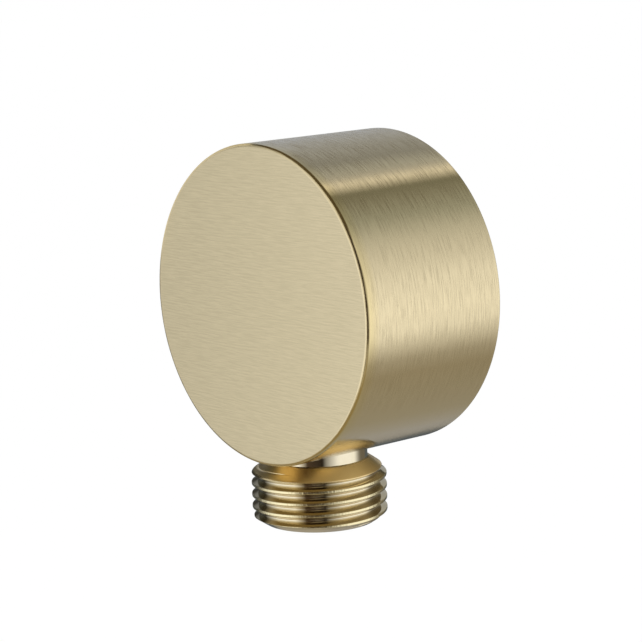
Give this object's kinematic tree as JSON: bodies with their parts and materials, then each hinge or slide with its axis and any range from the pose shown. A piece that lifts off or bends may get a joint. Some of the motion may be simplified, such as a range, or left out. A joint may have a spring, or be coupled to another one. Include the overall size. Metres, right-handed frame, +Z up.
{
  "type": "wall outlet elbow",
  "caption": "Round wall outlet elbow: a thick brushed disc body with a threaded inlet at the back and a polished threaded hose nipple pointing down.",
  "frame": {"origin": "middle of the wall face, on the inlet axis", "axes": "+Y along the inlet axis into the wall, +Z up, the outlet points along -Z"},
  "size_m": [0.049, 0.0272, 0.0594],
  "materials": {
    "brushed_gold": "pale gold plating, straight-brushed on the face and brushed round on the side",
    "polished_gold": "polished gold plating",
    "seal_rubber": "matt black rubber"
  },
  "bodies": {
    "root": {"elbow_body": "brushed_gold", "outlet_nipple": "polished_gold", "nipple_seal": "seal_rubber"}
  },
  "joints": []
}
